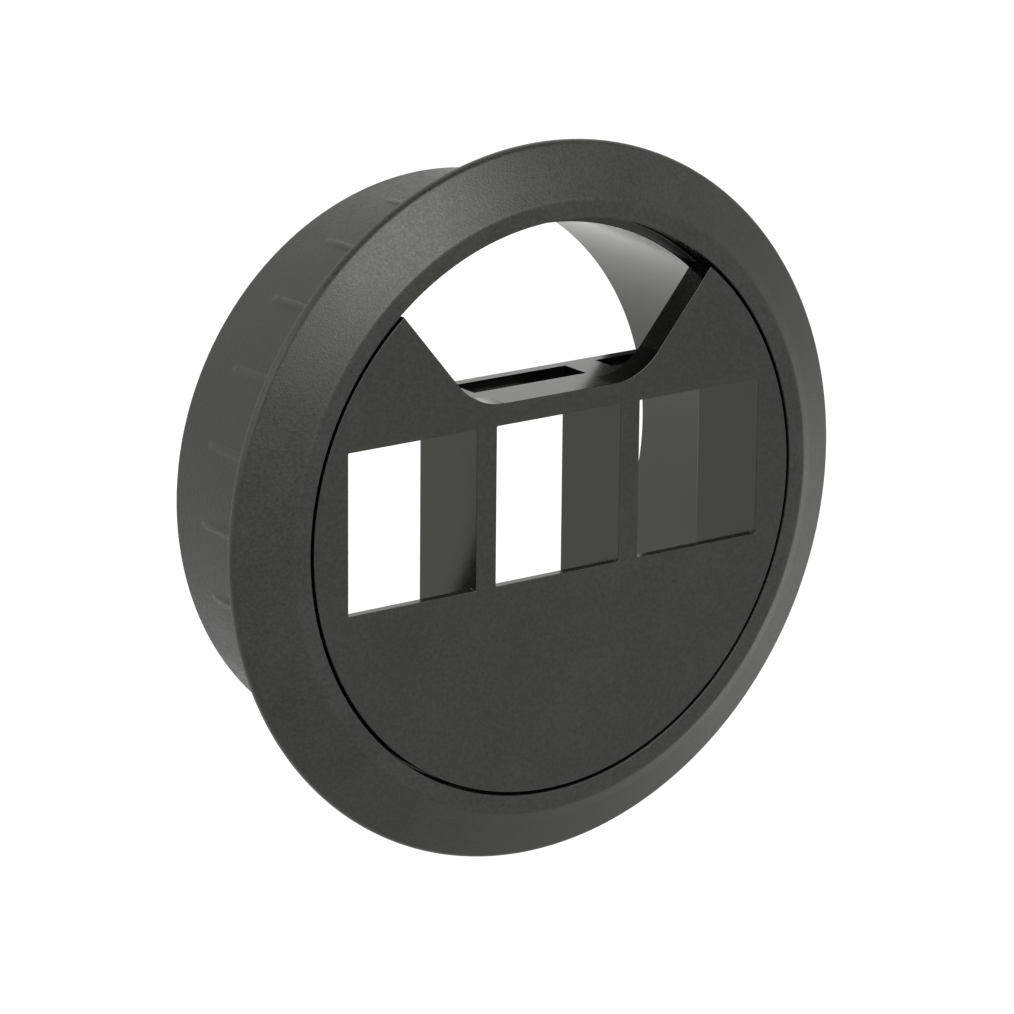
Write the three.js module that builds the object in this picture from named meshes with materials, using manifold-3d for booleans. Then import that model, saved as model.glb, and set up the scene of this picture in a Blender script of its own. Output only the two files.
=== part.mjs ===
// Desk grommet for a 60 mm hole in a table top: a ring that presses into the hole, and an
// insert that drops into the ring, with a cable outlet and three ports for keystone jacks.
// Millimetres. The origin is the centre of the hole on the desk's surface, +Z points up out
// of the desk, and +Y points from the ports towards the cable outlet.

import * as THREE from "three";
import { mergeVertices } from "three/addons/utils/BufferGeometryUtils.js";
import Module from "manifold-3d";

const wasm = await Module();
wasm.setup();

// Facets round a full circle, and round one rounded corner
const ROUND_SEGMENTS = 96;
const CORNER_SEGMENTS = 8;

// Flange: a flat land round the insert, then a shallow cone down to a thin rounded edge.
// The edge height is where the cone would meet the edge if that corner were sharp.
const FACE_Z = 3.35;
const FLANGE_RADIUS = 36;
const FLANGE_EDGE_HEIGHT = 0.7;
const FLANGE_EDGE_FILLET = 0.7;
const FLANGE_EDGE_STEPS = 4;
const LAND_RADIUS = 30.7;

// Recess that the insert sits in, and the ledge under it
const RECESS_RADIUS = 28.87;
const LEDGE_Z = 0.15;
const LEDGE_INNER_RADIUS = 27.9;

// Barrel, which narrows a little towards its open back end
const BARREL_BACK_Z = -19.15;
const BARREL_OUTER_RADIUS = 30;
const BARREL_OUTER_RADIUS_BACK = 29.78;
const BARREL_INNER_RADIUS_BACK = 27.4;
const BARREL_BACK_CHAMFER = 0.4;

// Crush ribs outside the barrel, which grip the wall of the hole and run out to nothing.
// The first one is a little way round from +X.
const RIB_COUNT = 24;
const RIB_START_DEGREES = 1.2;
const RIB_WIDTH = 0.7;
const RIB_HEIGHT = 0.4;
const RIB_BACK_Z = -14.1;
const RIB_ROOT = 0.6;

// Insert: a face plate with a short skirt round its edge
const INSERT_RADIUS = 28.52;
const PLATE_THICKNESS = 2;
const SKIRT_WALL = 1.5;
const SKIRT_Z = 0.45;

// Largest radius of anything on the insert that hangs down inside the barrel
const HANGING_RADIUS = 27.3;

// Cable outlet: a trapezoid with rounded lower corners, open at the rim, with a lip behind it
const OUTLET_BASE_Y = 11.75;
const OUTLET_BASE_HALF_WIDTH = 9.85;
const OUTLET_RIM_Y = 21.9;
const OUTLET_RIM_HALF_WIDTH = 18.3;
const OUTLET_CORNER_RADIUS = 7;
const OUTLET_LIP_WALL = 1.5;
const OUTLET_LIP_DEPTH = 2.9;

// Keystone ports
const PORT_COLUMNS = [-1, 0, 1];
const PORT_PITCH = 17.2;
const PORT_WIDTH = 14.85;
const PORT_TOP_Y = 9.6;
const PORT_BOTTOM_Y = -6.5;
const PORT_LIP_THICKNESS = 0.9;

// The block behind the ports: outer walls, a taller cavity for the jack's foot, and windows
// in its top wall for the jacks' latches
const BLOCK_DEPTH = 9.6;
const BLOCK_HALF_WIDTH = 26.4;
const BLOCK_BOTTOM_Y = -11.65;
const CAVITY_BOTTOM_Y = -9.9;
const LATCH_WINDOW_WIDTH = 13.5;
const LATCH_WINDOW_FRONT_DEPTH = 4.8;
const LATCH_WINDOW_BACK_DEPTH = 8.3;

// How far a cutting tool runs past what it cuts, and how far joined shapes reach into each other
const PAST = 1;
const BITE = 0.5;

function solidFrom(geometry) {
  const bare = geometry.clone();
  bare.deleteAttribute("normal");
  bare.deleteAttribute("uv");
  const merged = mergeVertices(bare, 1e-4);
  return new wasm.Manifold(
    new wasm.Mesh({
      numProp: 3,
      vertProperties: new Float32Array(merged.attributes.position.array),
      triVerts: new Uint32Array(merged.index.array),
    }),
  );
}

function geometryFrom(solid) {
  const mesh = solid.getMesh();
  const geometry = new THREE.BufferGeometry();
  geometry.setAttribute("position", new THREE.BufferAttribute(mesh.vertProperties, 3));
  geometry.setIndex(new THREE.BufferAttribute(mesh.triVerts, 1));
  geometry.computeVertexNormals();
  return geometry;
}

// A closed [radius, z] outline turned about Z. The outline climbs on its outer side.
function turned(outline) {
  const points = [...outline, outline[0]].map(([radius, z]) => new THREE.Vector2(radius, z));
  const geometry = new THREE.LatheGeometry(points, ROUND_SEGMENTS);
  geometry.rotateX(Math.PI / 2);
  return solidFrom(geometry);
}

function disc(radius, bottom, top) {
  const geometry = new THREE.CylinderGeometry(radius, radius, top - bottom, ROUND_SEGMENTS);
  geometry.rotateX(Math.PI / 2);
  geometry.translate(0, 0, (bottom + top) / 2);
  return solidFrom(geometry);
}

function box(left, right, front, back, bottom, top) {
  const geometry = new THREE.BoxGeometry(right - left, back - front, top - bottom);
  geometry.translate((left + right) / 2, (front + back) / 2, (bottom + top) / 2);
  return solidFrom(geometry);
}

function extruded(shape, bottom, top) {
  const geometry = new THREE.ExtrudeGeometry(shape, {
    depth: top - bottom,
    bevelEnabled: false,
    curveSegments: CORNER_SEGMENTS,
  });
  geometry.translate(0, 0, bottom);
  return solidFrom(geometry);
}

// The flange's rounded edge, from its vertical side up to where the cone begins
function flangeEdge() {
  const slope = Math.atan2(FACE_Z - FLANGE_EDGE_HEIGHT, FLANGE_RADIUS - LAND_RADIUS);
  const sweep = Math.PI / 2 - slope;
  const centreRadius = FLANGE_RADIUS - FLANGE_EDGE_FILLET;
  const centreZ = FLANGE_EDGE_HEIGHT - FLANGE_EDGE_FILLET * Math.tan(sweep / 2);
  const points = [];
  for (let i = 0; i <= FLANGE_EDGE_STEPS; i += 1) {
    const angle = (sweep * i) / FLANGE_EDGE_STEPS;
    points.push([
      centreRadius + FLANGE_EDGE_FILLET * Math.cos(angle),
      centreZ + FLANGE_EDGE_FILLET * Math.sin(angle),
    ]);
  }
  return points;
}

function ringBody() {
  return turned([
    [BARREL_INNER_RADIUS_BACK, BARREL_BACK_Z],
    [BARREL_OUTER_RADIUS_BACK - BARREL_BACK_CHAMFER, BARREL_BACK_Z],
    [BARREL_OUTER_RADIUS_BACK, BARREL_BACK_Z + BARREL_BACK_CHAMFER],
    [BARREL_OUTER_RADIUS, 0],
    [FLANGE_RADIUS, 0],
    ...flangeEdge(),
    [LAND_RADIUS, FACE_Z],
    [RECESS_RADIUS, FACE_Z],
    [RECESS_RADIUS, LEDGE_Z],
    [LEDGE_INNER_RADIUS, LEDGE_Z],
  ]);
}

// One rib, drawn as a radius by height outline, given its width, and turned to its angle
function crushRib(angle) {
  const root = BARREL_OUTER_RADIUS - RIB_ROOT;
  const shape = new THREE.Shape();
  shape.moveTo(root, RIB_BACK_Z);
  shape.lineTo(BARREL_OUTER_RADIUS_BACK, RIB_BACK_Z);
  shape.lineTo(BARREL_OUTER_RADIUS + RIB_HEIGHT, BITE);
  shape.lineTo(root, BITE);
  shape.closePath();
  const geometry = new THREE.ExtrudeGeometry(shape, {
    depth: RIB_WIDTH,
    bevelEnabled: false,
  });
  geometry.translate(0, 0, -RIB_WIDTH / 2);
  geometry.rotateX(Math.PI / 2);
  geometry.rotateZ(angle);
  return solidFrom(geometry);
}

function grommetRing() {
  let solid = ringBody();
  const start = THREE.MathUtils.degToRad(RIB_START_DEGREES);
  for (let i = 0; i < RIB_COUNT; i += 1) {
    solid = solid.add(crushRib(start + (i * 2 * Math.PI) / RIB_COUNT));
  }
  return solid;
}

// The outlet's outline seen from above. A positive grow moves its sides and base outwards.
function outletShape(grow) {
  const side = new THREE.Vector2(
    OUTLET_RIM_HALF_WIDTH - OUTLET_BASE_HALF_WIDTH,
    OUTLET_RIM_Y - OUTLET_BASE_Y,
  );
  const lean = side.x / side.y;
  const slant = side.length() / side.y;
  const baseY = OUTLET_BASE_Y - grow;
  const halfAt = (y) => OUTLET_BASE_HALF_WIDTH + lean * (y - OUTLET_BASE_Y) + slant * grow;
  const farY = FLANGE_RADIUS;
  const radius = OUTLET_CORNER_RADIUS + grow;
  const turn = Math.atan2(side.y, side.x);
  const tangent = radius * Math.tan(turn / 2);
  const centreX = halfAt(baseY) - tangent;
  const shape = new THREE.Shape();
  shape.moveTo(halfAt(farY), farY);
  shape.lineTo(-halfAt(farY), farY);
  shape.absarc(-centreX, baseY + radius, radius, 1.5 * Math.PI - turn, 1.5 * Math.PI, false);
  shape.absarc(centreX, baseY + radius, radius, 1.5 * Math.PI, 1.5 * Math.PI + turn, false);
  shape.closePath();
  return shape;
}

function facePlate() {
  return turned([
    [INSERT_RADIUS - SKIRT_WALL, SKIRT_Z],
    [INSERT_RADIUS, SKIRT_Z],
    [INSERT_RADIUS, FACE_Z],
    [0, FACE_Z],
    [0, FACE_Z - PLATE_THICKNESS],
    [INSERT_RADIUS - SKIRT_WALL, FACE_Z - PLATE_THICKNESS],
  ]);
}

// The wall that borders the outlet behind the face plate
function outletLip() {
  const bottom = FACE_Z - OUTLET_LIP_DEPTH;
  const top = FACE_Z - PLATE_THICKNESS + BITE;
  return extruded(outletShape(OUTLET_LIP_WALL), bottom, top).intersect(
    disc(HANGING_RADIUS, bottom, top),
  );
}

function portBlock() {
  const bottom = FACE_Z - BLOCK_DEPTH;
  const top = FACE_Z - PLATE_THICKNESS + BITE;
  return box(
    -BLOCK_HALF_WIDTH,
    BLOCK_HALF_WIDTH,
    BLOCK_BOTTOM_Y,
    OUTLET_BASE_Y,
    bottom,
    top,
  ).intersect(disc(HANGING_RADIUS, bottom, top));
}

// What is cut away for one jack: the port in the face, the cavity behind, the latch window
function portCut(centreX) {
  const left = centreX - PORT_WIDTH / 2;
  const right = centreX + PORT_WIDTH / 2;
  const blockBack = FACE_Z - BLOCK_DEPTH - PAST;
  const lipBack = FACE_Z - PORT_LIP_THICKNESS;
  const port = box(left, right, PORT_BOTTOM_Y, PORT_TOP_Y, lipBack - BITE, FACE_Z + PAST);
  const cavity = box(left, right, CAVITY_BOTTOM_Y, PORT_TOP_Y, blockBack, lipBack);
  const latchWindow = box(
    centreX - LATCH_WINDOW_WIDTH / 2,
    centreX + LATCH_WINDOW_WIDTH / 2,
    PORT_TOP_Y - BITE,
    OUTLET_BASE_Y + PAST,
    FACE_Z - LATCH_WINDOW_BACK_DEPTH,
    FACE_Z - LATCH_WINDOW_FRONT_DEPTH,
  );
  return port.add(cavity).add(latchWindow);
}

function keystoneInsert() {
  const outletCut = extruded(outletShape(0), FACE_Z - OUTLET_LIP_DEPTH - PAST, FACE_Z + PAST);
  let solid = facePlate().add(outletLip().subtract(outletCut)).add(portBlock());
  for (const column of PORT_COLUMNS) {
    solid = solid.subtract(portCut(column * PORT_PITCH));
  }
  return solid.subtract(outletCut);
}

function piece(name, solid, material) {
  const mesh = new THREE.Mesh(geometryFrom(solid), material);
  mesh.name = name;
  return mesh;
}

const ringPlastic = new THREE.MeshStandardMaterial({
  color: 0x3a3b38,
  roughness: 0.6,
  metalness: 0,
});
const insertPlastic = new THREE.MeshStandardMaterial({
  color: 0x353634,
  roughness: 0.45,
  metalness: 0,
});

const grommet = new THREE.Group();
grommet.add(piece("grommet_ring", grommetRing(), ringPlastic));
grommet.add(piece("keystone_insert", keystoneInsert(), insertPlastic));

export default grommet;
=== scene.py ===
"""Looks of the desk grommet: fine meshes and plastics for the ring and the insert.

A pale floor, soft studio light and a camera go round them.
"""

import math

import bpy
from mathutils import Matrix, Vector


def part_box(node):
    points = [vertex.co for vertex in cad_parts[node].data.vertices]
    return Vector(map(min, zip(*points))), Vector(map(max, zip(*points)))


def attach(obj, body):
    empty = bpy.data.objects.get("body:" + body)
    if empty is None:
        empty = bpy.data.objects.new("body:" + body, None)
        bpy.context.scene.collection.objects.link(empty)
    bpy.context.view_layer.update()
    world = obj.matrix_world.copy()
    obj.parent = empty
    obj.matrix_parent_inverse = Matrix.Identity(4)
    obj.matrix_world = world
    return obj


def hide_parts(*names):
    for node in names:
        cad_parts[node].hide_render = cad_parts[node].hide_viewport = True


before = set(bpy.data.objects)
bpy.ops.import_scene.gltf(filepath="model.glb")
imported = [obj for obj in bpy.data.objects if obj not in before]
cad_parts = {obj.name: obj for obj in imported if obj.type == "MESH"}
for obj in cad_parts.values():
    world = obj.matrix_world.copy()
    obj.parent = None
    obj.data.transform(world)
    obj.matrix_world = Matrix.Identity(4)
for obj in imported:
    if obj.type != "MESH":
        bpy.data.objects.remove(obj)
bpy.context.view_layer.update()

MM = 0.001

# ---------------------------------------------------------------- sizes, in millimetres


def in_mm(metres):
    """A length of the frame in millimetres, to the nearest micrometre."""
    return round(metres / MM, 3)


ring_low, ring_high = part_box("grommet_ring")
insert_low, insert_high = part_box("keystone_insert")

FACE_Z = in_mm(ring_high.z)
FLANGE_RADIUS = in_mm(ring_high.x)
FLANGE_UNDERSIDE_FILLET = 0.06
FLANGE_EDGE_HEIGHT = 0.7
FLANGE_EDGE_FILLET = 0.7
SHOULDER_RADIUS = 32.0
SHOULDER_Z = 2.645
SHOULDER_FILLET = 9.0
LAND_RADIUS = 30.7
LAND_FILLET = 0.9
RECESS_RADIUS = 28.87
RECESS_EDGE_FILLET = 0.12
RECESS_CORNER_FILLET = 0.15
RECESS_GRAIN_DEPTH = 0.25  # how far the flange's grain reaches down into the recess
LEDGE_Z = 0.15
LEDGE_INNER_RADIUS = 27.9
LEDGE_EDGE_FILLET = 0.12
BARREL_BACK_Z = in_mm(ring_low.z)
BARREL_OUTER_RADIUS = 30.0
BARREL_OUTER_RADIUS_BACK = 29.78
BARREL_INNER_RADIUS_BACK = 27.4
BARREL_ROOT_FILLET = 0.25
BARREL_OUTER_EDGE_FILLET = 0.35
BARREL_INNER_EDGE_FILLET = 0.15
BARREL_SMOOTH_EDGE = 0.1  # how far the smooth inside reaches round the back edge

RIB_COUNT = 24
RIB_START_DEGREES = 1.2
RIB_HEIGHT = 0.4
RIB_BACK_Z = -14.1
RIB_FADE_POWER = 0.5
RIB_HALF_WIDTH = 0.56
# From a rib's foot to its crest: distance from the rib's middle, share of its height.
RIB_FLANK = ((RIB_HALF_WIDTH, 0.0), (0.44, 0.12), (0.26, 0.82), (0.14, 0.98))
# Rows of points down the barrel, closer together where the ribs run out.
RIB_ROW_Z = (RIB_BACK_Z - 0.4, RIB_BACK_Z, -13.8, -13.3, -12.4, -11.2, -9.0, -6.0, -3.0)
COLUMNS_BETWEEN_RIBS = 11

INSERT_RADIUS = in_mm(insert_high.x)
INSERT_EDGE_FILLET = 0.1
PLATE_BACK_Z = FACE_Z - 2.0
SKIRT_WALL = 1.5
SKIRT_Z = 0.45
SKIRT_BEVEL = 0.12
HANGING_RADIUS = 27.3  # all that hangs inside the barrel stays within this

OUTLET_BASE_Y = 11.75
OUTLET_BASE_HALF_WIDTH = 9.85
OUTLET_RIM_Y = 21.9
OUTLET_RIM_HALF_WIDTH = 18.3
OUTLET_CORNER_RADIUS = 7.0
OUTLET_EDGE_FILLET = 0.08
OUTLET_LIP_WALL = 1.5
OUTLET_LIP_BACK_Z = FACE_Z - 2.88

BLOCK_BACK_Z = in_mm(insert_low.z)
BLOCK_HALF_WIDTH = 26.4
BLOCK_BACK_BEVEL = 0.15

PORT_PITCH = 17.2
PORT_WIDTH = 14.85
PORT_TOP_Y = 9.6
PORT_BOTTOM_Y = -6.5
PORT_CORNER_RADIUS = 0.12
PORT_EDGE_FILLET = 0.06
PORT_LIP_BACK_Z = FACE_Z - 0.9
CAVITY_BOTTOM_Y = -9.9
CAVITY_BACK_BEVEL = 0.12
WINDOW_WIDTH = 13.5
WINDOW_CORNER_RADIUS = 0.01
WINDOW_FRONT_Z = FACE_Z - 4.8
WINDOW_BACK_Z = FACE_Z - 8.3

FACE_CIRCLE_STEPS = 288
HIDDEN_CIRCLE_STEPS = 144
PAST = 1.0  # how far a cutting tool passes the surface that it leaves through
OVERLAP = 0.5  # how far a solid or tool reaches into what it joins

# ---------------------------------------------------------------- mesh helpers


def new_mesh_object(name, points_mm, faces):
    mesh = bpy.data.meshes.new(name)
    mesh.from_pydata([tuple(c * MM for c in p) for p in points_mm], [], faces)
    mesh.validate()
    mesh.update()
    made = bpy.data.objects.new(name, mesh)
    bpy.context.scene.collection.objects.link(made)
    return made


def rounded_profile(corners, support=0.06):
    """The (radius, z, tag) points of a closed outline, from corners (radius, z, fillet, steps, tag).

    A point at support beyond each end of a fillet keeps the flats beside it flat.
    """
    points = []
    for i, (r, z, fillet, steps, tag) in enumerate(corners):
        here = Vector((r, z))
        if fillet == 0:
            points.append((r, z, tag))
            continue
        before = Vector(corners[i - 1][:2]) - here
        after = Vector(corners[(i + 1) % len(corners)][:2]) - here
        room_before, room_after = before.length, after.length
        before.normalize()
        after.normalize()
        inside = before.angle(after)
        reach = fillet / math.tan(inside / 2)
        centre = here + (before + after).normalized() * (fillet / math.sin(inside / 2))
        first = here + before * reach - centre
        last = here + after * reach - centre
        turn = math.pi - inside
        if reach + 3 * support < room_before:
            p = here + before * (reach + support)
            points.append((p.x, p.y, tag))
        for k in range(steps + 1):
            s = k / steps
            p = centre + (first * math.sin((1 - s) * turn) + last * math.sin(s * turn)) / math.sin(turn)
            points.append((p.x, p.y, tag))
        if reach + 3 * support < room_after:
            p = here + after * (reach + support)
            points.append((p.x, p.y, tag))
    return points


def arc(cx, cy, radius, start, end, steps):
    angles = [start + (end - start) * k / steps for k in range(steps + 1)]
    return [(cx + radius * math.cos(a), cy + radius * math.sin(a)) for a in angles]


def circle(radius, steps):
    angles = [2 * math.pi * k / steps for k in range(steps)]
    return [(radius * math.cos(a), radius * math.sin(a)) for a in angles]


def rounded_box_outline(left, right, low, high, radius, steps=4):
    quarter = math.pi / 2
    return (
        arc(right - radius, low + radius, radius, -quarter, 0, steps)
        + arc(right - radius, high - radius, radius, 0, quarter, steps)
        + arc(left + radius, high - radius, radius, quarter, 2 * quarter, steps)
        + arc(left + radius, low + radius, radius, 2 * quarter, 3 * quarter, steps)
    )


def grown(outline, distance):
    """The counter-clockwise outline moved outwards by distance."""
    if distance == 0:
        return list(outline)
    moved = []
    for i, here in enumerate(outline):
        here = Vector(here)
        a = here - Vector(outline[i - 1])
        b = Vector(outline[(i + 1) % len(outline)]) - here
        na = Vector((a.y, -a.x)).normalized()
        nb = Vector((b.y, -b.x)).normalized()
        step = (na + nb) * (distance / (1 + na.dot(nb)))
        moved.append((here.x + step.x, here.y + step.y))
    return moved


def prism(name, outline, sections):
    """A closed solid through sections (z, grow) of one outline, lowest first."""
    n = len(outline)
    points, faces = [], []
    for z, grow in sections:
        points += [(x, y, z) for x, y in grown(outline, grow)]
    for s in range(len(sections) - 1):
        a, b = s * n, (s + 1) * n
        faces += [(a + i, a + (i + 1) % n, b + (i + 1) % n, b + i) for i in range(n)]
    faces.append(tuple(reversed(range(n))))
    faces.append(tuple(range((len(sections) - 1) * n, len(sections) * n)))
    return new_mesh_object(name, points, faces)


def rounded_front(front_z, fillet, steps, outwards):
    """Sections that round an edge at front_z. outwards is 1 on a cutting tool and -1 on a solid."""
    turns = [math.pi / 2 * k / steps for k in range(steps + 1)]
    return [(front_z - fillet + fillet * math.sin(t), outwards * fillet * (1 - math.cos(t))) for t in turns]


def bevelled_back(back_z, bevel, outwards):
    """Sections that take an edge at back_z off in two bevels. outwards is as in rounded_front."""
    return [(back_z, outwards * bevel), (back_z + bevel / 3, outwards * bevel / 3), (back_z + bevel, 0)]


def out_through_face(start_z, fillet, steps):
    """Sections of a cutting tool that leaves through the insert's face and rounds the face's edge."""
    return [(start_z, 0)] + rounded_front(FACE_Z, fillet, steps, 1) + [(FACE_Z + PAST, fillet)]


def combine(base, tool, operation):
    """base with tool joined to it, cut from it or kept in common with it. The tool is used up."""
    step = base.modifiers.new("combine", "BOOLEAN")
    step.operation = operation
    step.solver = "EXACT"
    step.object = tool
    shown = base.evaluated_get(bpy.context.evaluated_depsgraph_get())
    result = bpy.data.meshes.new_from_object(shown)
    base.modifiers.clear()
    spent = base.data
    base.data = result
    bpy.data.meshes.remove(spent)
    spent = tool.data
    bpy.data.objects.remove(tool)
    bpy.data.meshes.remove(spent)


def shade(mesh, sharp_degrees=30, flat_area_mm2=3.0, crease_degrees=0.6):
    """Smooth shading with creases at real corners and round each large flat face, so flats stay flat."""
    limit = math.radians(sharp_degrees)
    crease = math.radians(crease_degrees)
    flat_area = flat_area_mm2 * MM * MM
    beside = {}
    for polygon in mesh.polygons:
        polygon.use_smooth = True
        for key in polygon.edge_keys:
            beside.setdefault(key, []).append(polygon)
    for edge in mesh.edges:
        sides = beside.get(tuple(sorted(edge.vertices)), [])
        if len(sides) != 2:
            edge.use_edge_sharp = True
            continue
        angle = sides[0].normal.angle(sides[1].normal, 0)
        wide = max(sides[0].area, sides[1].area) > flat_area
        edge.use_edge_sharp = angle > limit or (wide and angle > crease)


# ---------------------------------------------------------------- the ring

# Which of the ring's materials each tag of its profile takes.
RING_FINISHES = {"flange": 0, "inside": 1, "rib": 2, "back": 2}


def rib_columns():
    """Angles round the ring, closer together over each crush rib, with the rib's height share at each."""
    rising = [(-at, share) for at, share in RIB_FLANK]
    across = rising + [(0.0, 1.0)] + list(reversed(RIB_FLANK))
    columns = []
    sector = 2 * math.pi / RIB_COUNT
    half = RIB_HALF_WIDTH / BARREL_OUTER_RADIUS
    gap = sector - 2 * half
    parts = COLUMNS_BETWEEN_RIBS + 1
    for rib in range(RIB_COUNT):
        middle = math.radians(RIB_START_DEGREES) + rib * sector
        columns += [(middle + at / BARREL_OUTER_RADIUS, share) for at, share in across]
        columns += [(middle + half + gap * k / parts, 0.0) for k in range(1, parts)]
    return columns


def rib_height(z):
    """A rib stands highest under the flange and runs out in a curve at its back end."""
    share = (z - RIB_BACK_Z) / -RIB_BACK_Z
    return RIB_HEIGHT * max(0.0, min(1.0, share)) ** RIB_FADE_POWER


def ring_profile():
    """The ring's section as (radius, z, tag), from the barrel's back edge round the flange and inside."""
    slope = (BARREL_OUTER_RADIUS - BARREL_OUTER_RADIUS_BACK) / -BARREL_BACK_Z
    return rounded_profile(
        [
            (BARREL_INNER_RADIUS_BACK, BARREL_BACK_Z, BARREL_INNER_EDGE_FILLET, 3, "back"),
            (BARREL_OUTER_RADIUS_BACK, BARREL_BACK_Z, BARREL_OUTER_EDGE_FILLET, 5, "back"),
            *[(BARREL_OUTER_RADIUS + slope * z, z, 0, 0, "rib") for z in RIB_ROW_Z],
            (BARREL_OUTER_RADIUS, 0.0, BARREL_ROOT_FILLET, 4, "rib"),
            (FLANGE_RADIUS, 0.0, FLANGE_UNDERSIDE_FILLET, 2, "flange"),
            (FLANGE_RADIUS, FLANGE_EDGE_HEIGHT, FLANGE_EDGE_FILLET, 8, "flange"),
            (SHOULDER_RADIUS, SHOULDER_Z, SHOULDER_FILLET, 6, "flange"),
            (LAND_RADIUS, FACE_Z, LAND_FILLET, 8, "flange"),
            (RECESS_RADIUS, FACE_Z, RECESS_EDGE_FILLET, 4, "flange"),
            (RECESS_RADIUS, FACE_Z - RECESS_GRAIN_DEPTH, 0, 0, "inside"),
            (RECESS_RADIUS, LEDGE_Z, RECESS_CORNER_FILLET, 3, "inside"),
            (LEDGE_INNER_RADIUS, LEDGE_Z, LEDGE_EDGE_FILLET, 3, "inside"),
        ]
    )


def ring_finish(radius, tag):
    """The barrel's smooth inside reaches a little way round its back edge."""
    if tag == "back" and radius < BARREL_INNER_RADIUS_BACK + BARREL_SMOOTH_EDGE:
        tag = "inside"
    return RING_FINISHES[tag]


def make_ring():
    profile = ring_profile()
    columns = rib_columns()
    n = len(profile)
    points, faces, finishes = [], [], []
    for angle, share in columns:
        c, s = math.cos(angle), math.sin(angle)
        for r, z, tag in profile:
            if tag == "rib":
                r += share * rib_height(z)
            points.append((r * c, r * s, z))
    for j in range(len(columns)):
        a, b = j * n, ((j + 1) % len(columns)) * n
        for k, (r, _, tag) in enumerate(profile):
            m = (k + 1) % n
            faces.append((a + k, b + k, b + m, a + m))
            finishes.append(ring_finish(r, tag))
    made = new_mesh_object("ring_shell", points, faces)
    for polygon, finish in zip(made.data.polygons, finishes):
        polygon.use_smooth = True
        polygon.material_index = finish
    return made


# ---------------------------------------------------------------- the insert


def outlet_outline(grow=0.0, corner_steps=14):
    """The cable outlet: a rounded trough that widens towards the rim and runs out past it."""
    side_x = OUTLET_RIM_HALF_WIDTH - OUTLET_BASE_HALF_WIDTH
    side_y = OUTLET_RIM_Y - OUTLET_BASE_Y
    lean = side_x / side_y
    slant = math.hypot(side_x, side_y) / side_y
    base_y = OUTLET_BASE_Y - grow
    far_y = FLANGE_RADIUS
    radius = OUTLET_CORNER_RADIUS + grow
    turn = math.atan2(side_y, side_x)

    def half_at(y):
        return OUTLET_BASE_HALF_WIDTH + lean * (y - OUTLET_BASE_Y) + slant * grow

    centre_x = half_at(base_y) - radius * math.tan(turn / 2)
    down = 1.5 * math.pi
    return (
        [(half_at(far_y), far_y), (-half_at(far_y), far_y)]
        + arc(-centre_x, base_y + radius, radius, down - turn, down, corner_steps)
        + arc(centre_x, base_y + radius, radius, down, down + turn, corner_steps)
    )


def block_outline(corner_steps=6):
    """The port block's outline: a box whose corners are cut round to clear the barrel."""
    side = math.acos(BLOCK_HALF_WIDTH / HANGING_RADIUS)
    top = math.asin(OUTLET_BASE_Y / HANGING_RADIUS)
    spans = [(-top, -side), (side, top), (math.pi - top, math.pi - side), (math.pi + side, math.pi + top)]
    outline = []
    for start, end in spans:
        outline += arc(0, 0, HANGING_RADIUS, start, end, corner_steps)
    return outline


def hollow_back(insert):
    """The round plate is hollow behind, so that only its face and a skirt are left."""
    hollow = circle(INSERT_RADIUS - SKIRT_WALL, HIDDEN_CIRCLE_STEPS)
    combine(insert, prism("pocket", hollow, [(SKIRT_Z - PAST, 0), (PLATE_BACK_Z, 0)]), "DIFFERENCE")


def add_outlet_lip(insert):
    """A thin wall behind the outlet's edge, cut off where it would meet the barrel."""
    wall = outlet_outline(OUTLET_LIP_WALL)
    lip = prism("lip", wall, [(OUTLET_LIP_BACK_Z, 0), (PLATE_BACK_Z + OVERLAP, 0)])
    room = circle(HANGING_RADIUS, HIDDEN_CIRCLE_STEPS)
    keep = prism("keep", room, [(OUTLET_LIP_BACK_Z - PAST, 0), (PLATE_BACK_Z + PAST, 0)])
    combine(lip, keep, "INTERSECT")
    combine(insert, lip, "UNION")


def add_block(insert):
    sections = bevelled_back(BLOCK_BACK_Z, BLOCK_BACK_BEVEL, -1) + [(PLATE_BACK_Z + OVERLAP, 0)]
    combine(insert, prism("block", block_outline(), sections), "UNION")


def cut_outlet(insert):
    sections = out_through_face(BLOCK_BACK_Z - PAST, OUTLET_EDGE_FILLET, 4)
    combine(insert, prism("outlet", outlet_outline(), sections), "DIFFERENCE")


def cut_port(insert, x):
    """One keystone port centred at x: a cavity from behind, the opening in the face and a latch window."""
    left, right = x - PORT_WIDTH / 2, x + PORT_WIDTH / 2
    cavity = rounded_box_outline(left, right, CAVITY_BOTTOM_Y, PORT_TOP_Y, PORT_CORNER_RADIUS)
    cavity_sections = [
        (BLOCK_BACK_Z - PAST, CAVITY_BACK_BEVEL),
        *bevelled_back(BLOCK_BACK_Z, CAVITY_BACK_BEVEL, 1),
        (PORT_LIP_BACK_Z, 0),
    ]
    combine(insert, prism("cavity", cavity, cavity_sections), "DIFFERENCE")

    opening = rounded_box_outline(left, right, PORT_BOTTOM_Y, PORT_TOP_Y, PORT_CORNER_RADIUS)
    opening_sections = out_through_face(PORT_LIP_BACK_Z - OVERLAP, PORT_EDGE_FILLET, 3)
    combine(insert, prism("port", opening, opening_sections), "DIFFERENCE")

    window = rounded_box_outline(
        x - WINDOW_WIDTH / 2,
        x + WINDOW_WIDTH / 2,
        PORT_TOP_Y - OVERLAP,
        OUTLET_BASE_Y + PAST,
        WINDOW_CORNER_RADIUS,
        steps=1,
    )
    combine(insert, prism("window", window, [(WINDOW_BACK_Z, 0), (WINDOW_FRONT_Z, 0)]), "DIFFERENCE")


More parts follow.
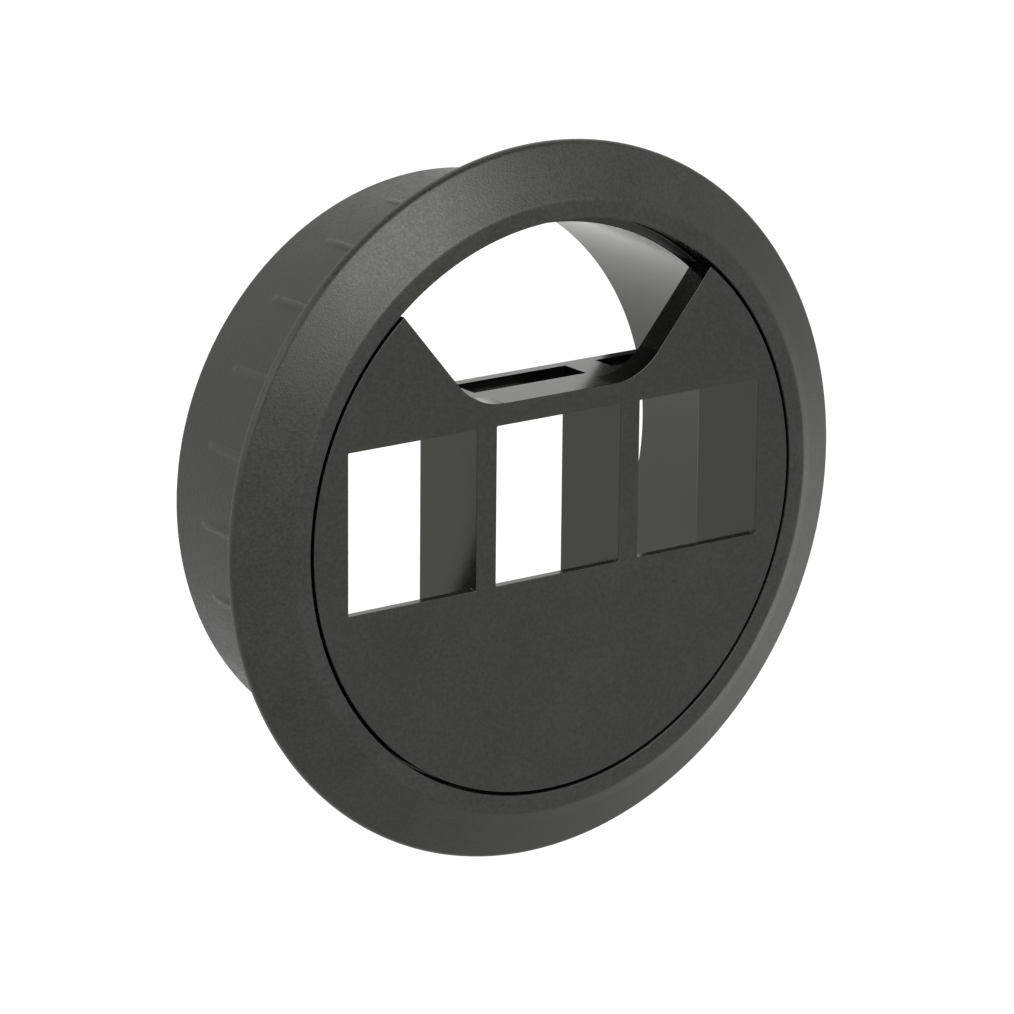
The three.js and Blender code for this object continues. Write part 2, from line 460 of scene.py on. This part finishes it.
def finish_insert(insert, face_band_mm=0.3, facing_up=0.2):
    """The face takes the first material, satin, and all that lies behind it the second, smooth, whose darker
    colour is partly painted shade.
    """
    insert.data.materials.clear()
    shade(insert.data)
    for polygon in insert.data.polygons:
        near_face = polygon.center.z > (FACE_Z - face_band_mm) * MM
        polygon.material_index = 0 if near_face and polygon.normal.z > facing_up else 1


def make_insert():
    edge = rounded_front(FACE_Z, INSERT_EDGE_FILLET, 4, -1)
    sections = [(SKIRT_Z, -SKIRT_BEVEL), (SKIRT_Z + SKIRT_BEVEL, 0)] + edge
    insert = prism("insert_body", circle(INSERT_RADIUS, FACE_CIRCLE_STEPS), sections)
    hollow_back(insert)
    add_outlet_lip(insert)
    add_block(insert)
    cut_outlet(insert)
    for column in (-1, 0, 1):
        cut_port(insert, column * PORT_PITCH)
    finish_insert(insert)
    return insert


# ---------------------------------------------------------------- plastics

CLOUD_SCALE = 160  # noise scales are in cycles per metre
SWELL_SCALE = 90
SPECK_TO_GRAIN = 1.6
SPECK_SHARE = 0.65  # the rest of the mottle is cloud
COLOUR_RAMP = (0.35, 0.65)
GLOSS_RAMP = (0.3, 0.7)


def noise(nodes, links, coordinates, scale, detail, roughness=0.5):
    made = nodes.new("ShaderNodeTexNoise")
    made.inputs["Scale"].default_value = scale
    made.inputs["Detail"].default_value = detail
    made.inputs["Roughness"].default_value = roughness
    links.new(coordinates.outputs["Object"], made.inputs["Vector"])
    return made


def map_range(nodes, links, source, source_range, result_range):
    made = nodes.new("ShaderNodeMapRange")
    made.inputs["From Min"].default_value, made.inputs["From Max"].default_value = source_range
    made.inputs["To Min"].default_value, made.inputs["To Max"].default_value = result_range
    links.new(source, made.inputs["Value"])
    return made.outputs["Result"]


def bump(nodes, links, texture, depth_mm):
    made = nodes.new("ShaderNodeBump")
    made.inputs["Strength"].default_value = 1.0
    made.inputs["Distance"].default_value = depth_mm * MM
    links.new(texture.outputs["Fac"], made.inputs["Height"])
    return made


def plastic(name, dark, light, roughness, grain_mm, grain_depth_mm, swell_depth_mm, ior=1.5, tint=(1, 1, 1)):
    """Black moulded plastic: mottled colour and gloss, a fine moulded grain, and a faint swell under it."""
    material = bpy.data.materials.new(name)
    material.use_nodes = True
    nodes, links = material.node_tree.nodes, material.node_tree.links
    shader = nodes["Principled BSDF"]
    shader.inputs["Metallic"].default_value = 0.0
    shader.inputs["IOR"].default_value = ior
    shader.inputs["Specular Tint"].default_value = (*tint, 1)
    coordinates = nodes.new("ShaderNodeTexCoord")

    cloud = noise(nodes, links, coordinates, CLOUD_SCALE, detail=3)
    speck = noise(nodes, links, coordinates, 1 / (grain_mm * SPECK_TO_GRAIN * MM), detail=2)
    blend = nodes.new("ShaderNodeMix")
    blend.inputs["Factor"].default_value = SPECK_SHARE
    links.new(cloud.outputs["Fac"], blend.inputs["A"])
    links.new(speck.outputs["Fac"], blend.inputs["B"])
    mottle = blend.outputs["Result"]

    colour = nodes.new("ShaderNodeValToRGB")
    for stop, position, shade_of_black in zip(colour.color_ramp.elements, COLOUR_RAMP, (dark, light)):
        stop.position = position
        stop.color = (*shade_of_black, 1)
    links.new(mottle, colour.inputs["Fac"])
    links.new(colour.outputs["Color"], shader.inputs["Base Color"])
    links.new(map_range(nodes, links, mottle, GLOSS_RAMP, roughness), shader.inputs["Roughness"])

    grain_noise = noise(nodes, links, coordinates, 1 / (grain_mm * MM), detail=3, roughness=0.6)
    grain = bump(nodes, links, grain_noise, grain_depth_mm)
    swell_noise = noise(nodes, links, coordinates, SWELL_SCALE, detail=1)
    swell = bump(nodes, links, swell_noise, swell_depth_mm)
    links.new(grain.outputs["Normal"], swell.inputs["Normal"])
    links.new(swell.outputs["Normal"], shader.inputs["Normal"])
    return material


ring_grained = plastic(
    "ring_grained",
    dark=(0.006, 0.0063, 0.0052),
    light=(0.018, 0.0186, 0.0156),
    roughness=(0.36, 0.50),
    grain_mm=0.2,
    grain_depth_mm=0.022,
    swell_depth_mm=0.02,
)
# Smooth inside finish; its colour, several times darker than the flange's, is partly painted shade for the
# shaded recess wall and ledge.
ring_smooth_with_painted_shade = plastic(
    "ring_smooth_with_painted_shade",
    dark=(0.002, 0.0021, 0.0017),
    light=(0.004, 0.0042, 0.0034),
    roughness=(0.13, 0.19),
    grain_mm=0.2,
    grain_depth_mm=0.0004,
    swell_depth_mm=0.006,
    ior=1.55,
    tint=(0.98, 1, 0.93),
)
ring_barrel = plastic(
    "ring_barrel",
    dark=(0.006, 0.0062, 0.0058),
    light=(0.014, 0.0144, 0.0136),
    roughness=(0.30, 0.50),
    grain_mm=0.26,
    grain_depth_mm=0.03,
    swell_depth_mm=0.05,
    ior=1.43,
    tint=(1, 1, 0.98),
)
insert_satin = plastic(
    "insert_satin",
    dark=(0.006, 0.0063, 0.0053),
    light=(0.015, 0.0156, 0.0134),
    roughness=(0.30, 0.42),
    grain_mm=0.2,
    grain_depth_mm=0.006,
    swell_depth_mm=0.01,
)
# Smooth finish behind the face; its colour, several times darker than the face's, is partly painted shade
# for the shaded port, outlet and cavity walls.
insert_smooth_with_painted_shade = plastic(
    "insert_smooth_with_painted_shade",
    dark=(0.0012, 0.0013, 0.001),
    light=(0.0025, 0.0026, 0.0021),
    roughness=(0.10, 0.16),
    grain_mm=0.2,
    grain_depth_mm=0.0003,
    swell_depth_mm=0.004,
    ior=1.42,
    tint=(0.98, 1, 0.86),
)

# ---------------------------------------------------------------- the two pieces

ring = make_ring()
for finish in (ring_grained, ring_smooth_with_painted_shade, ring_barrel):
    ring.data.materials.append(finish)
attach(ring, "ring")
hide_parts("grommet_ring")

insert = make_insert()
for finish in (insert_satin, insert_smooth_with_painted_shade):
    insert.data.materials.append(finish)
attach(insert, "insert")
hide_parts("keystone_insert")

# ---------------------------------------------------------------- floor, light and camera, in metres

FLOOR_Z = -0.32
FLOOR_HALF = 6.0
FLOOR_COLOUR = (0.94, 0.94, 0.94, 1)
FLOOR_GLOW = (0.7, 0.7, 1, 1)
FLOOR_GLOW_STRENGTH = 0.1

WORLD_COLOUR = (1, 1, 0.97, 1)
WORLD_STRENGTH = 0.78
WORLD_FAR_SHARE = 0.2
WORLD_FALL = (0.5, 0.95)

LIGHT_COLOUR = (1, 1, 0.95)
LIGHT_DISTANCE = 0.9
# name: direction from the origin, width, height, radiance
LIGHTS = {
    "key": ((0.10, 0.48, 0.86), 0.38, 0.38, 12.0),
    "side": ((0.90, -0.43, -0.09), 0.6, 0.5, 0.5),
    "left": ((-0.80, 0.48, 0.12), 0.8, 0.4, 2.6),
}

CAMERA_AZIMUTH = math.radians(-36.015)
CAMERA_ELEVATION = math.radians(16.432)
CAMERA_ROLL = math.radians(0.54)
CAMERA_DISTANCE = 0.465
CAMERA_TARGET = Vector((-0.00619, 0.00135, FACE_Z * MM))
CAMERA_LENS_MM = 171.22
CAMERA_SENSOR_MM = 36
CAMERA_CLIP = (0.01, 50)


def make_floor():
    h = FLOOR_HALF / MM
    floor = new_mesh_object("floor", [(-h, -h, 0), (h, -h, 0), (h, h, 0), (-h, h, 0)], [(0, 1, 2, 3)])
    floor.location.z = FLOOR_Z
    pale = bpy.data.materials.new("floor_pale")
    pale.use_nodes = True
    shader = pale.node_tree.nodes["Principled BSDF"]
    shader.inputs["Base Color"].default_value = FLOOR_COLOUR
    shader.inputs["Roughness"].default_value = 0.9
    shader.inputs["Specular IOR Level"].default_value = 0.0
    shader.inputs["Emission Color"].default_value = FLOOR_GLOW
    shader.inputs["Emission Strength"].default_value = FLOOR_GLOW_STRENGTH
    floor.data.materials.append(pale)


def make_world():
    """A pale studio, even except towards +Y, where it falls to WORLD_FAR_SHARE of its strength.

    WORLD_FALL is where the fall starts and ends, as the Y of a direction of length 1.
    """
    world = bpy.data.worlds.new("studio")
    world.use_nodes = True
    nodes, links = world.node_tree.nodes, world.node_tree.links
    background = nodes["Background"]
    background.inputs["Color"].default_value = WORLD_COLOUR
    coordinates = nodes.new("ShaderNodeTexCoord")
    split = nodes.new("ShaderNodeSeparateXYZ")
    links.new(coordinates.outputs["Generated"], split.inputs["Vector"])
    strengths = (WORLD_STRENGTH, WORLD_STRENGTH * WORLD_FAR_SHARE)
    fall = map_range(nodes, links, split.outputs["Y"], WORLD_FALL, strengths)
    links.new(fall, background.inputs["Strength"])
    bpy.context.scene.world = world


def place(obj, position, right, up, back):
    """Puts obj at position with its X along right, its Y along up and its Z along back."""
    turn = Matrix((right, up, back)).transposed()
    obj.matrix_world = Matrix.Translation(position) @ turn.to_4x4()


def area_light(name, direction, width, height, radiance):
    """A rectangular lamp that faces the origin and is not seen by the camera."""
    lamp = bpy.data.lights.new(name, "AREA")
    lamp.shape = "RECTANGLE"
    lamp.size, lamp.size_y = width, height
    lamp.energy = radiance * math.pi * width * height
    lamp.color = LIGHT_COLOUR
    made = bpy.data.objects.new(name, lamp)
    bpy.context.scene.collection.objects.link(made)
    back = Vector(direction).normalized()
    right = Vector((0, 1, 0)).cross(back).normalized()
    place(made, back * LIGHT_DISTANCE, right, back.cross(right), back)
    made.visible_camera = False


def make_camera():
    """The camera looks at the face from the left and above, with +Y of the part up in the picture."""
    level = Vector((math.cos(CAMERA_AZIMUTH), 0, -math.sin(CAMERA_AZIMUTH)))
    flat_back = Vector((math.sin(CAMERA_AZIMUTH), 0, math.cos(CAMERA_AZIMUTH)))
    back = flat_back * math.cos(CAMERA_ELEVATION) + Vector((0, math.sin(CAMERA_ELEVATION), 0))
    over = back.cross(level)
    right = level * math.cos(CAMERA_ROLL) + over * math.sin(CAMERA_ROLL)
    up = over * math.cos(CAMERA_ROLL) - level * math.sin(CAMERA_ROLL)
    data = bpy.data.cameras.new("camera")
    data.sensor_width = CAMERA_SENSOR_MM
    data.lens = CAMERA_LENS_MM
    data.clip_start, data.clip_end = CAMERA_CLIP
    camera = bpy.data.objects.new("camera", data)
    bpy.context.scene.collection.objects.link(camera)
    place(camera, CAMERA_TARGET + back * CAMERA_DISTANCE, right, up, back)
    bpy.context.scene.camera = camera


make_floor()
make_world()
for light_name, light_values in LIGHTS.items():
    area_light(light_name, *light_values)
make_camera()

bpy.context.scene.view_settings.view_transform = "Standard"
